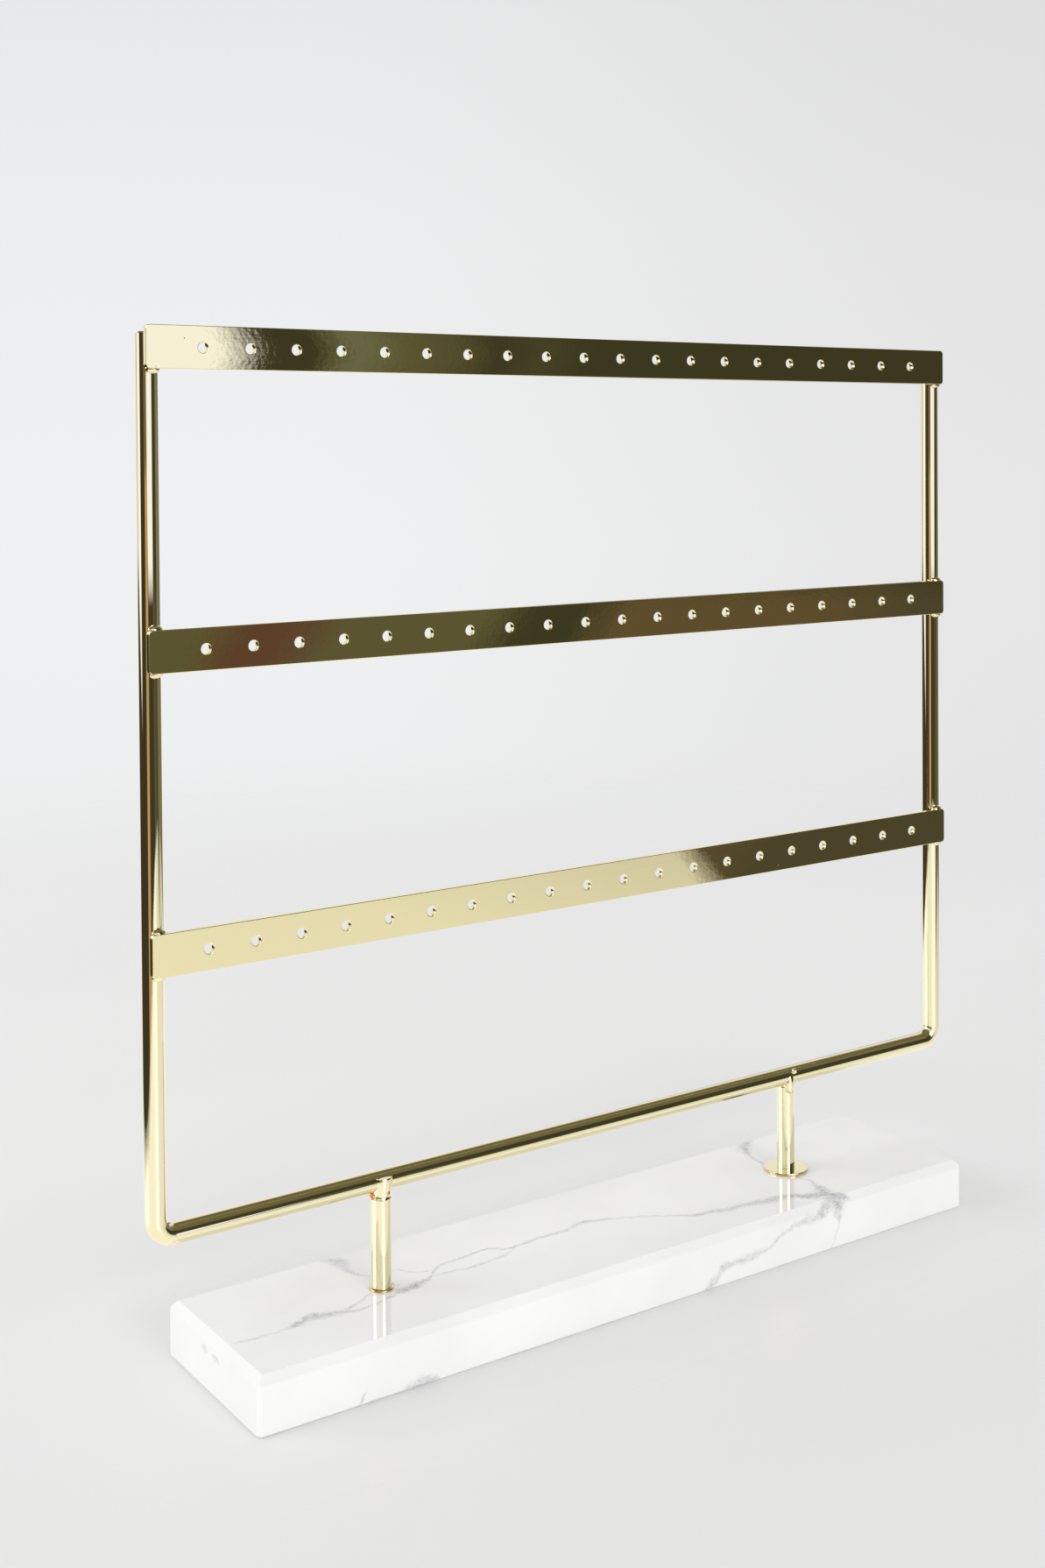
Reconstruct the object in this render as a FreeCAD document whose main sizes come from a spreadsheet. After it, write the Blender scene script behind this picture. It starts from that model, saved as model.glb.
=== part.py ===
import FreeCAD, Part
import Sketcher
import os

# Earring display stand: a stone slab carries a bent rod frame on two posts,
# and three drilled strips are welded across the front of the frame.
# Millimetres, +Z up, +X along the strips, -Y towards the user.
# The origin is the centre of the slab's underside.

os.makedirs("parts", exist_ok=True)
doc = FreeCAD.newDocument("EarringStand")
V = FreeCAD.Vector

# Driving sizes, one named cell each
DRIVING_SIZES = {
    "slab_length": 225.5,
    "slab_width": 49.0,
    "slab_thickness": 13.5,
    "slab_top_chamfer": 1.9,
    "slab_corner_bevel": 1.0,
    "slab_foot_arris": 0.4,
    "rod_diameter": 5.0,
    "rod_tip_chamfer": 0.4,
    "rod_tip_drop": 1.5,
    "upright_spacing": 252.5,
    "bend_radius": 4.5,
    "rail_rise": 26.9,
    "lowest_strip_rise": 65.6,
    "strip_spacing": 69.2,
    "strip_height": 10.0,
    "strip_thickness": 1.5,
    "strip_end_inset": 0.75,
    "strip_corner_radius": 1.0,
    "strip_arris_chamfer": 0.3,
    "strip_weld_diameter": 2.2,
    "strip_weld_length": 3.2,
    "strip_weld_proud": 0.2,
    "hole_diameter": 2.5,
    "hole_pitch": 12.0,
    "row_end_margin": 12.0,
    "post_spacing": 133.8,
    "post_cope_trim": 0.5,
    "post_weld_swell": 0.7,
    "post_weld_height": 4.2,
    "foot_flare": 0.7,
    "foot_flare_height": 1.3,
    "foot_washer_diameter": 12.5,
    "foot_washer_thickness": 0.8,
    "washer_edge_chamfer": 0.2,
    "spigot_diameter": 4.0,
    "spigot_tip": 0.7,
    "slab_hole_clearance": 0.3,
    "washer_hole_clearance": 0.15,
    "nut_thread_clearance": 0.05,
    "nut_flats": 7.0,
    "nut_thickness": 3.2,
    "counterbore_side_clearance": 1.5,
    "counterbore_spare_depth": 0.8,
}
sheet = doc.addObject("Spreadsheet::Sheet", "Sizes")
for row, (alias, value) in enumerate(DRIVING_SIZES.items(), start=1):
    sheet.set("A%d" % row, alias)
    sheet.set("B%d" % row, str(value))
    sheet.setAlias("B%d" % row, alias)
doc.recompute()

# Places and sizes worked out from the driving sizes
ROD_RADIUS = "(Sizes.rod_diameter / 2)"
SLAB_TOP = "Sizes.slab_thickness"
RAIL_Z = "(Sizes.slab_thickness + Sizes.rail_rise)"
BOTTOM_STRIP_Z = f"({RAIL_Z} + Sizes.lowest_strip_rise)"
MIDDLE_STRIP_Z = f"({BOTTOM_STRIP_Z} + Sizes.strip_spacing)"
TOP_STRIP_Z = f"({MIDDLE_STRIP_Z} + Sizes.strip_spacing)"
ROD_TIP_Z = f"({TOP_STRIP_Z} + Sizes.strip_height / 2 - Sizes.rod_tip_drop)"
UPRIGHT_X = {"left": "(-Sizes.upright_spacing / 2)", "right": "(Sizes.upright_spacing / 2)"}
POST_X = {"left": "(-Sizes.post_spacing / 2)", "right": "(Sizes.post_spacing / 2)"}
STRIP_LENGTH = "(Sizes.upright_spacing + Sizes.rod_diameter - 2 * Sizes.strip_end_inset)"
STRIP_FRONT = f"({ROD_RADIUS} + Sizes.strip_thickness)"
BEAD_Y = f"-({ROD_RADIUS} + Sizes.strip_weld_proud)"
HOLES_PER_ROW = f"(floor(({STRIP_LENGTH} - 2 * Sizes.row_end_margin) / Sizes.hole_pitch) + 1)"
ROW_LENGTH = f"(({HOLES_PER_ROW} - 1) * Sizes.hole_pitch)"
WASHER_HOLE = "(Sizes.spigot_diameter + 2 * Sizes.washer_hole_clearance)"
SLAB_HOLE = "(Sizes.spigot_diameter + 2 * Sizes.slab_hole_clearance)"
NUT_CORNER_RADIUS = "(Sizes.nut_flats / 2 / cos(30 deg))"
COUNTERBORE = f"(2 * {NUT_CORNER_RADIUS} + 2 * Sizes.counterbore_side_clearance)"
SPIGOT_END_Z = "Sizes.counterbore_spare_depth"
NUT_Z = f"({SPIGOT_END_Z} + Sizes.spigot_tip)"
COUNTERBORE_DEPTH = f"({NUT_Z} + Sizes.nut_thickness)"


# Sketches, pads and pockets

def new_body(label):
    """An empty body whose label names the piece."""
    body = doc.addObject("PartDesign::Body", label + "_body")
    body.Label = label
    return body


def place(thing, x="0", y="0", z="0"):
    """Ties the position of a piece or primitive to the driving sizes."""
    thing.setExpression("Placement.Base.x", x)
    thing.setExpression("Placement.Base.y", y)
    thing.setExpression("Placement.Base.z", z)


def new_sketch(body, name, plane, offset="0"):
    """A sketch parallel to one of the body's origin planes."""
    sketch = body.newObject("Sketcher::SketchObject", name)
    origin_plane = [item for item in body.Origin.OriginFeatures if item.Role == plane][0]
    sketch.AttachmentSupport = [(origin_plane, "")]
    sketch.MapMode = "FlatFace"
    sketch.setExpression("AttachmentOffset.Base.z", offset)
    return sketch


def dimension(sketch, name, formula, kind, *places):
    """Adds a named dimension to a sketch and ties it to a formula."""
    index = sketch.addConstraint(Sketcher.Constraint(kind, *places))
    sketch.renameConstraint(index, name)
    sketch.setExpression("Constraints." + name, formula)


def draw_rectangle(sketch, width, height):
    """A rectangle centred on the sketch's origin."""
    corners = [V(-20, -5, 0), V(20, -5, 0), V(20, 5, 0), V(-20, 5, 0)]
    for start, end in zip(corners, corners[1:] + corners[:1]):
        sketch.addGeometry(Part.LineSegment(start, end), False)
    for line in range(4):
        sketch.addConstraint(Sketcher.Constraint("Coincident", line, 2, (line + 1) % 4, 1))
        direction = "Horizontal" if line % 2 == 0 else "Vertical"
        sketch.addConstraint(Sketcher.Constraint(direction, line))
    sketch.addConstraint(Sketcher.Constraint("Symmetric", 0, 1, 2, 1, -1, 1))
    dimension(sketch, "width", width, "DistanceX", 0, 1, 0, 2, 40.0)
    dimension(sketch, "height", height, "DistanceY", 1, 1, 1, 2, 10.0)


def draw_circle(sketch, name, diameter, x=None):
    """A circle centred on the sketch's origin, or at x along its horizontal axis."""
    circle = sketch.addGeometry(Part.Circle(V(1, 0, 0), V(0, 0, 1), 2), False)
    if x is None:
        sketch.addConstraint(Sketcher.Constraint("Coincident", circle, 3, -1, 1))
    else:
        sketch.addConstraint(Sketcher.Constraint("PointOnObject", circle, 3, -1))
        dimension(sketch, name + "_x", x, "DistanceX", -1, 1, circle, 3, 1.0)
    dimension(sketch, name, diameter, "Diameter", circle, 4.0)


def sketch_line(sketch, start, end):
    """A straight line of a path."""
    return sketch.addGeometry(Part.LineSegment(start, end), False)


def sketch_arc(sketch, start, middle, end):
    """An arc through three points, kept in the order it is walked."""
    return sketch.addGeometry(Part.Arc(start, middle, end), False)


def add_pad(body, sketch, length):
    """A pad of a sketch along its normal."""
    pad = body.newObject("PartDesign::Pad", sketch.Name + "_pad")
    pad.Profile = sketch
    pad.setExpression("Length", length)
    return pad


def add_pocket(body, sketch, depth, reversed_cut=False):
    """A pocket against the sketch's normal, or along it; it must remove material."""
    doc.recompute()
    volume_before = body.Shape.Volume
    pocket = body.newObject("PartDesign::Pocket", sketch.Name + "_pocket")
    pocket.Profile = sketch
    pocket.Reversed = reversed_cut
    pocket.setExpression("Length", depth)
    doc.recompute()
    if not body.Shape.Volume < volume_before:
        raise ValueError(pocket.Name + " removes nothing")
    return pocket


def edges_where(shape, test):
    """Names of the edges whose bounding box passes a test."""
    return ["Edge%d" % n for n, edge in enumerate(shape.Edges, start=1) if test(edge.BoundBox)]


def dress_edges(body, kind, test, formula):
    """A chamfer or fillet on the edges of the body's tip that pass a test."""
    doc.recompute()
    base = body.Tip
    feature = body.newObject("PartDesign::" + kind, "%s_%s" % (base.Name, kind.lower()))
    feature.Base = (base, edges_where(base.Shape, test))
    feature.setExpression("Size" if kind == "Chamfer" else "Radius", formula)
    return feature


def flat_at(box, axis, height):
    """Whether an edge lies in the plane across an axis at a height."""
    low, high = {"y": (box.YMin, box.YMax), "z": (box.ZMin, box.ZMax)}[axis]
    return abs(low - height) < 1e-4 and abs(high - height) < 1e-4


def runs_along(box, axis):
    """Whether an edge is straight and parallel to an axis."""
    lengths = {"x": box.XLength, "y": box.YLength, "z": box.ZLength}
    along = lengths.pop(axis)
    return along > 1e-4 and max(lengths.values()) < 1e-4


# Part primitives and booleans

def new_solid(kind, name, **formulas):
    """A Part primitive with its sizes tied to formulas."""
    solid = doc.addObject("Part::" + kind, name)
    for property_name, formula in formulas.items():
        solid.setExpression(property_name, formula)
    return solid


def cut(name, base, tool):
    """One solid less another."""
    result = doc.addObject("Part::Cut", name)
    result.Base = base
    result.Tool = tool
    return result


def fuse(name, shapes):
    """Several solids joined as one."""
    result = doc.addObject("Part::MultiFuse", name)
    result.Shapes = shapes
    result.Refine = True
    return result


def lie_along_x(cylinder, length, x, y, z):
    """Lays a cylinder along X with its middle at a place."""
    cylinder.Placement.Rotation = FreeCAD.Rotation(V(0, 1, 0), 90)
    place(cylinder, x=f"({x}) - ({length}) / 2", y=y, z=z)


# Stone slab: sawn, chamfered and polished, with a stepped hole under each post

def make_base_slab():
    body = new_body("base_slab")
    plan = new_sketch(body, "slab_plan", "XY_Plane")
    draw_rectangle(plan, "Sizes.slab_length", "Sizes.slab_width")
    add_pad(body, plan, "Sizes.slab_thickness")
    top = float(sheet.slab_thickness)
    dress_edges(body, "Chamfer", lambda box: flat_at(box, "z", top), "Sizes.slab_top_chamfer")
    dress_edges(body, "Chamfer", lambda box: runs_along(box, "z"), "Sizes.slab_corner_bevel")
    dress_edges(body, "Chamfer", lambda box: flat_at(box, "z", 0), "Sizes.slab_foot_arris")
    holes = new_sketch(body, "slab_holes", "XY_Plane")
    recesses = new_sketch(body, "slab_counterbores", "XY_Plane")
    for side, x in POST_X.items():
        draw_circle(holes, side, SLAB_HOLE, x)
        draw_circle(recesses, side, COUNTERBORE, x)
    add_pocket(body, holes, SLAB_TOP, reversed_cut=True)
    add_pocket(body, recesses, COUNTERBORE_DEPTH, reversed_cut=True)
    return body


# Frame rod: one length of round bar bent twice into a U, its tips behind the top strip

def make_frame_rod():
    body = new_body("frame_rod")
    path = new_sketch(body, "rod_path", "XZ_Plane")
    # Drawn roughly to shape first; the dimensions below then set its true size
    outer_x, tip_z, rail_z, bend = 126.0, 242.0, 41.0, 4.5
    left_foot, right_foot = V(-outer_x, rail_z + bend, 0), V(outer_x, rail_z + bend, 0)
    rail_left, rail_right = V(-outer_x + bend, rail_z, 0), V(outer_x - bend, rail_z, 0)
    reach = bend * 0.7071
    left_mid = V(-outer_x + bend - reach, rail_z + bend - reach, 0)
    right_mid = V(outer_x - bend + reach, rail_z + bend - reach, 0)
    left_upright = sketch_line(path, V(-outer_x, tip_z, 0), left_foot)
    left_bend = sketch_arc(path, left_foot, left_mid, rail_left)
    rail = sketch_line(path, rail_left, rail_right)
    right_bend = sketch_arc(path, rail_right, right_mid, right_foot)
    right_upright = sketch_line(path, right_foot, V(outer_x, tip_z, 0))
    for joint in (
        (left_upright, 2, left_bend, 1),
        (left_bend, 2, rail, 1),
        (rail, 2, right_bend, 1),
        (right_bend, 2, right_upright, 1),
    ):
        path.addConstraint(Sketcher.Constraint("Tangent", *joint))
    path.addConstraint(Sketcher.Constraint("Vertical", left_upright))
    path.addConstraint(Sketcher.Constraint("Vertical", right_upright))
    path.addConstraint(Sketcher.Constraint("Horizontal", rail))
    path.addConstraint(Sketcher.Constraint("Symmetric", left_upright, 1, right_upright, 2, -2))
    path.addConstraint(Sketcher.Constraint("Equal", left_bend, right_bend))
    dimension(path, "bend", "Sizes.bend_radius", "Radius", left_bend, bend)
    tips = (left_upright, 1, right_upright, 2)
    dimension(path, "spacing", "Sizes.upright_spacing", "DistanceX", *tips, 2 * outer_x)
    dimension(path, "tip", ROD_TIP_Z, "DistanceY", -1, 1, left_upright, 1, tip_z)
    dimension(path, "rail", RAIL_Z, "DistanceY", -1, 1, rail, 1, rail_z)
    section = new_sketch(body, "rod_section", "XY_Plane", ROD_TIP_Z)
    draw_circle(section, "rod", "Sizes.rod_diameter", UPRIGHT_X["left"])
    pipe = body.newObject("PartDesign::AdditivePipe", "rod_pipe")
    pipe.Profile = section
    pipe.Spine = path
    doc.recompute()
    tip_height = body.Shape.BoundBox.ZMax
    dress_edges(body, "Chamfer", lambda box: flat_at(box, "z", tip_height), "Sizes.rod_tip_chamfer")
    return body


# Strips: flat bar with rounded corners and one row of holes, welded to both uprights

def make_strip(label, height, welded_edges=("lower", "upper")):
    plate = doc.addObject("PartDesign::Body", label + "_plate")
    outline = new_sketch(plate, label + "_outline", "XZ_Plane", ROD_RADIUS)
    draw_rectangle(outline, STRIP_LENGTH, "Sizes.strip_height")
    add_pad(plate, outline, "Sizes.strip_thickness")
    dress_edges(plate, "Fillet", lambda box: runs_along(box, "y"), "Sizes.strip_corner_radius")
    dress_edges(plate, "Chamfer", lambda box: box.YLength < 1e-4, "Sizes.strip_arris_chamfer")
    first_hole = new_sketch(plate, label + "_first_hole", "XZ_Plane", STRIP_FRONT)
    draw_circle(first_hole, "hole", "Sizes.hole_diameter", f"-{ROW_LENGTH} / 2")
    pocket = add_pocket(plate, first_hole, "Sizes.strip_thickness")
    row = plate.newObject("PartDesign::LinearPattern", label + "_hole_row")
    row.Originals = [pocket]
    row.Direction = (outline, ["H_Axis"])
    row.setExpression("Length", ROW_LENGTH)
    row.setExpression("Occurrences", HOLES_PER_ROW)
    plate.Tip = row
    beads = [make_strip_bead(label, side, edge) for side in UPRIGHT_X for edge in welded_edges]
    strip = fuse(label, [plate] + beads)
    strip.Label = label
    place(strip, z=height)
    return strip


def make_strip_bead(label, side, edge):
    """A short run of weld between a strip's edge and the front of an upright."""
    name = "_".join((label, side, edge))
    length = "Sizes.strip_weld_length"
    bead = new_solid("Cylinder", name + "_bead", Radius="Sizes.strip_weld_diameter / 2", Height=length)
    sign = "" if edge == "upper" else "-"
    lie_along_x(bead, length, UPRIGHT_X[side], BEAD_Y, f"{sign}Sizes.strip_height / 2")
    upright = new_solid("Cylinder", name + "_upright", Radius=ROD_RADIUS, Height="Sizes.strip_height * 2")
    place(upright, x=UPRIGHT_X[side], z="-Sizes.strip_height")
    return cut(name + "_weld", bead, upright)


# Posts: round bar coped and welded under the rail, with a threaded spigot below

def make_post(side, foot_z, flared):
    name = side + "_post"
    x = POST_X[side]
    top_z = f"({RAIL_Z} - Sizes.post_cope_trim)"
    shaft = new_solid("Cylinder", name + "_shaft", Radius=ROD_RADIUS, Height=f"{top_z} - {foot_z}")
    place(shaft, x=x, z=foot_z)
    weld = new_solid(
        "Cone",
        name + "_weld",
        Radius1=ROD_RADIUS,
        Radius2=f"{ROD_RADIUS} + Sizes.post_weld_swell",
        Height="Sizes.post_weld_height",
    )
    place(weld, x=x, z=f"{top_z} - Sizes.post_weld_height")
    spigot = new_solid(
        "Cylinder",
        name + "_spigot",
        Radius="Sizes.spigot_diameter / 2",
        Height=f"{foot_z} - {SPIGOT_END_Z}",
    )
    place(spigot, x=x, z=SPIGOT_END_Z)
    pieces = [shaft, weld, spigot]
    if flared:
        flare = new_solid(
            "Cone",
            name + "_flare",
            Radius1=f"{ROD_RADIUS} + Sizes.foot_flare",
            Radius2=ROD_RADIUS,
            Height="Sizes.foot_flare_height",
        )
        place(flare, x=x, z=foot_z)
        pieces.append(flare)
    rail_length = "(4 * Sizes.rod_diameter)"
    rail = new_solid("Cylinder", name + "_rail", Radius=ROD_RADIUS, Height=rail_length)
    lie_along_x(rail, rail_length, x, "0", RAIL_Z)
    post = cut(name, fuse(name + "_whole", pieces), rail)
    post.Label = name
    return post


# Washer between the right post and the slab, and the nuts under the slab

def make_foot_washer():
    body = new_body("right_foot_washer")
    ring = new_sketch(body, "foot_washer_ring", "XY_Plane")
    draw_circle(ring, "outside", "Sizes.foot_washer_diameter")
    draw_circle(ring, "hole", WASHER_HOLE)
    add_pad(body, ring, "Sizes.foot_washer_thickness")
    doc.recompute()
    top = body.Shape.BoundBox.ZMax
    rim = 0.99 * body.Shape.BoundBox.XLength
    dress_edges(
        body,
        "Chamfer",
        lambda box: box.XLength > rim and flat_at(box, "z", top),
        "Sizes.washer_edge_chamfer",
    )
    place(body, x=POST_X["right"], z=SLAB_TOP)
    return body


def make_nut(side):
    name = side + "_nut"
    prism = new_solid("Prism", name + "_prism", Circumradius=NUT_CORNER_RADIUS, Height="Sizes.nut_thickness")
    prism.Polygon = 6
    bore = new_solid(
        "Cylinder",
        name + "_bore",
        Radius="Sizes.spigot_diameter / 2 + Sizes.nut_thread_clearance",
        Height="Sizes.nut_thickness",
    )
    nut = cut(name, prism, bore)
    nut.Label = name
    place(nut, x=POST_X[side], z=NUT_Z)
    return nut


# The stand put together

pieces = [
    make_base_slab(),
    make_frame_rod(),
    make_strip("bottom_strip", BOTTOM_STRIP_Z),
    make_strip("middle_strip", MIDDLE_STRIP_Z),
    make_strip("top_strip", TOP_STRIP_Z, welded_edges=("lower",)),
    make_post("left", SLAB_TOP, flared=True),
    make_post("right", f"({SLAB_TOP} + Sizes.foot_washer_thickness)", flared=False),
    make_foot_washer(),
    make_nut("left"),
    make_nut("right"),
]
doc.recompute()

for item in doc.Objects:
    if "Invalid" in item.State or "Error" in item.State:
        raise ValueError("%s failed: %s" % (item.Name, item.State))
    if item.TypeId.startswith("Part::") and not item.Shape.Volume > 0:
        raise ValueError(item.Name + " is empty")
    if item.TypeId == "Sketcher::SketchObject" and not item.FullyConstrained:
        raise ValueError(item.Name + " can still move")
for piece in pieces:
    shape = piece.Shape
    if shape.isNull() or not shape.isValid() or len(shape.Solids) != 1:
        raise ValueError(piece.Label + " is not one valid solid")
for piece in pieces:
    piece.Shape.exportStep("parts/%s.step" % piece.Label)
    box = piece.Shape.BoundBox
    spans = ((box.XMin, box.XMax), (box.YMin, box.YMax), (box.ZMin, box.ZMax))
    print(piece.Label, "%.1f mm3" % piece.Shape.Volume, *("%.2f to %.2f" % span for span in spans))
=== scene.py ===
import bpy
import math
from mathutils import Matrix


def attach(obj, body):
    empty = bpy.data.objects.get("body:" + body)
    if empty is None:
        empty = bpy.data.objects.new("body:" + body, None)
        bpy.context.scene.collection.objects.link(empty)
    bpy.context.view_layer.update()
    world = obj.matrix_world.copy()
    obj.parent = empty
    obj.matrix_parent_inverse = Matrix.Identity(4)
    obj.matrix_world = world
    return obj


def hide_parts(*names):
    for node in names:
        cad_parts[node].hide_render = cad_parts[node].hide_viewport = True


# Earring display stand: polished marble slab, bent rod frame, drilled strips, posts and their
# fixings, each dressed over its CAD solid. Metres in the scene, millimetres in the sizes below.

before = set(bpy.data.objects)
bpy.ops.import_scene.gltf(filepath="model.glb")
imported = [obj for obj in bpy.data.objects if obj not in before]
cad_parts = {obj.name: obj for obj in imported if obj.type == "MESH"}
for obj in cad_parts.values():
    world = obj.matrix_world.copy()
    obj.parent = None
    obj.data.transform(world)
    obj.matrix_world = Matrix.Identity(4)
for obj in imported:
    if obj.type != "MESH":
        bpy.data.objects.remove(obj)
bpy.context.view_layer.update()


# Marble slab: white marble, sawn, chamfered round the top and polished on every side.
# Two stepped holes underneath take the fixings; two small pits were left in the left end.

MM = 0.001


def select_only(piece):
    """Leaves one piece selected and active, in object mode."""
    if bpy.context.mode != "OBJECT":
        bpy.ops.object.mode_set(mode="OBJECT")
    bpy.ops.object.select_all(action="DESELECT")
    piece.select_set(True)
    bpy.context.view_layer.objects.active = piece


def name_new(name):
    """Names the primitive just added and moves its place and size into its mesh."""
    piece = bpy.context.object
    piece.name = piece.data.name = name
    select_only(piece)
    bpy.ops.object.transform_apply(location=True, rotation=True, scale=True)
    return piece


def pick(piece, test, along=None):
    """In edit mode, selects the edges that run along an axis and whose ends, in mm, pass a test."""
    select_only(piece)
    bpy.ops.object.mode_set(mode="EDIT")
    bpy.ops.mesh.select_mode(type="EDGE")
    bpy.ops.mesh.select_all(action="DESELECT")
    bpy.ops.object.mode_set(mode="OBJECT")
    for edge in piece.data.edges:
        start, end = (piece.data.vertices[i].co / MM for i in edge.vertices)
        run = end - start
        right_way = along is None or abs(run[along]) > 0.9 * run.length
        edge.select = right_way and test(start) and test(end)
    bpy.ops.object.mode_set(mode="EDIT")


def apply_modifier(piece, name, kind, **settings):
    """Adds a modifier and applies it at once."""
    modifier = piece.modifiers.new(name, kind)
    for key, value in settings.items():
        setattr(modifier, key, value)
    select_only(piece)
    bpy.ops.object.modifier_apply(modifier=name)


def drill(piece, cutter):
    """Cuts a closed shape out of a piece and throws the cutter away."""
    apply_modifier(piece, "cut", "BOOLEAN", operation="DIFFERENCE", solver="EXACT", object=cutter)
    bpy.data.objects.remove(cutter)


def bore(piece, x, low, high, radius, sides=64):
    """Cuts a round upright hole on the slab's middle line, between two heights in millimetres."""
    bpy.ops.mesh.primitive_cylinder_add(
        vertices=sides, radius=radius * MM, depth=(high - low) * MM,
        location=(x * MM, 0, (low + high) / 2 * MM),
    )
    drill(piece, name_new("bore_cutter"))


def shade(piece, angle=60):
    """Shades a piece smooth up to an angle, with the long and flat faces kept true."""
    select_only(piece)
    bpy.ops.object.shade_smooth_by_angle(angle=math.radians(angle))
    apply_modifier(piece, "true", "WEIGHTED_NORMAL", mode="FACE_AREA", weight=100, keep_sharp=True)


def soften(piece, width, steps=2, angle=25):
    """Rounds every sharp edge slightly."""
    apply_modifier(
        piece, "soften", "BEVEL", width=width * MM, segments=steps,
        limit_method="ANGLE", angle_limit=math.radians(angle), use_clamp_overlap=True,
    )
    shade(piece)


SLAB_LENGTH, SLAB_WIDTH, SLAB_HEIGHT = 225.5, 49.0, 13.5
TOP_CHAMFER, CORNER_BEVEL, FOOT_ARRIS = 1.9, 1.0, 0.4
POST_X = 66.9
SPIGOT_HOLE_RADIUS, COUNTERBORE_RADIUS, COUNTERBORE_DEPTH = 2.3, 5.54, 4.7
PIT_BALL, PIT_DEPTH = 1.0, 0.25

bpy.ops.mesh.primitive_cube_add(
    size=1, location=(0, 0, SLAB_HEIGHT / 2 * MM),
    scale=(SLAB_LENGTH * MM, SLAB_WIDTH * MM, SLAB_HEIGHT * MM),
)
slab = name_new("marble_slab")
pick(slab, lambda p: p.z > SLAB_HEIGHT - 0.1)
bpy.ops.mesh.bevel(offset=TOP_CHAMFER * MM, segments=1)
pick(slab, lambda p: abs(p.x) > SLAB_LENGTH / 2 - 0.1 and abs(p.y) > SLAB_WIDTH / 2 - 0.1, along=2)
bpy.ops.mesh.bevel(offset=CORNER_BEVEL * MM, segments=1)
pick(slab, lambda p: p.z < 0.1)
bpy.ops.mesh.bevel(offset=FOOT_ARRIS * MM, segments=1)
bpy.ops.object.mode_set(mode="OBJECT")
for x in (-POST_X, POST_X):
    bore(slab, x, -1, SLAB_HEIGHT + 1, SPIGOT_HOLE_RADIUS)
    bore(slab, x, -2, COUNTERBORE_DEPTH, COUNTERBORE_RADIUS)
for y, z, width, height in ((3.8, 9.5, 3.4, 2.3), (-2.3, 9.4, 5.0, 1.9)):
    bpy.ops.mesh.primitive_uv_sphere_add(
        segments=24, ring_count=12, radius=0.5,
        location=((PIT_DEPTH - PIT_BALL / 2 - SLAB_LENGTH / 2) * MM, y * MM, z * MM),
        scale=(PIT_BALL * MM, width * MM, height * MM),
    )
    drill(slab, name_new("pit_cutter"))
soften(slab, 0.1)


def hex_colour(code):
    """An sRGB hex colour as linear red, green, blue and alpha."""
    channels = [int(code[i:i + 2], 16) / 255 for i in (1, 3, 5)]
    return [c / 12.92 if c <= 0.04045 else ((c + 0.055) / 1.055) ** 2.4 for c in channels] + [1.0]


def grey(level):
    """A linear grey with full alpha."""
    return (level, level, level, 1)


def new_material(name):
    """A material with an empty node tree and a shader joined to its output."""
    material = bpy.data.materials.new(name)
    material.use_nodes = True
    material.node_tree.nodes.clear()
    shader = add_node(material.node_tree, "BsdfPrincipled")
    add_node(material.node_tree, "OutputMaterial", {"Surface": shader.outputs[0]})
    return material, material.node_tree, shader


def add_node(tree, kind, inputs=(), **settings):
    """Adds a node; each input is a socket's name or number with a value or another node's output."""
    node = tree.nodes.new("ShaderNode" + kind)
    for key, value in settings.items():
        setattr(node, key, value)
    for socket, value in dict(inputs).items():
        if isinstance(value, bpy.types.NodeSocket):
            tree.links.new(value, node.inputs[socket])
        else:
            node.inputs[socket].default_value = value
    return node


def maths(tree, operation, *terms, **settings):
    """Arithmetic on numbers or outputs."""
    return add_node(tree, "Math", dict(enumerate(terms)), operation=operation, **settings).outputs[0]


def vector_maths(tree, operation, *terms):
    """Arithmetic on triples or vector outputs; a length or a distance comes back as a number."""
    node = add_node(tree, "VectorMath", dict(enumerate(terms)), operation=operation)
    return node.outputs["Value" if operation in ("LENGTH", "DISTANCE") else "Vector"]


def spread(tree, value, low, high, bottom=0.0, top=1.0, **settings):
    """A value carried over from the range low to high to the range bottom to top, and held in it."""
    return add_node(
        tree, "MapRange",
        {"Value": value, "From Min": low, "From Max": high, "To Min": bottom, "To Max": top},
        **settings,
    ).outputs[0]


def blend(tree, amount, first, second, **settings):
    """A colour between two, by an amount from 0 to 1."""
    return add_node(
        tree, "Mix", {0: amount, 6: first, 7: second}, data_type="RGBA", **settings
    ).outputs[2]


def noise(tree, where, scale, detail, roughness=0.5):
    """The outputs of a noise texture."""
    return add_node(
        tree, "TexNoise", {"Vector": where, "Scale": scale, "Detail": detail, "Roughness": roughness}
    ).outputs


def place_in_mm(tree):
    """The place on the piece, in millimetres from the middle of the slab's underside."""
    place = add_node(tree, "TexCoord").outputs["Object"]
    return vector_maths(tree, "MULTIPLY", place, (1000, 1000, 1000))


# White marble, polished: a clear gloss over white stone, with soft grey veins that wander along
# the slab and fray where they meet. The veins are sheets through the stone, so they cross edges.
marble, stone, shader = new_material("white_marble_polished")
place_mm = place_in_mm(stone)
drift = noise(stone, place_mm, 0.11, 2.0)["Color"]
fray = noise(stone, place_mm, 0.55, 7.0, 0.68)["Color"]
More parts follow.
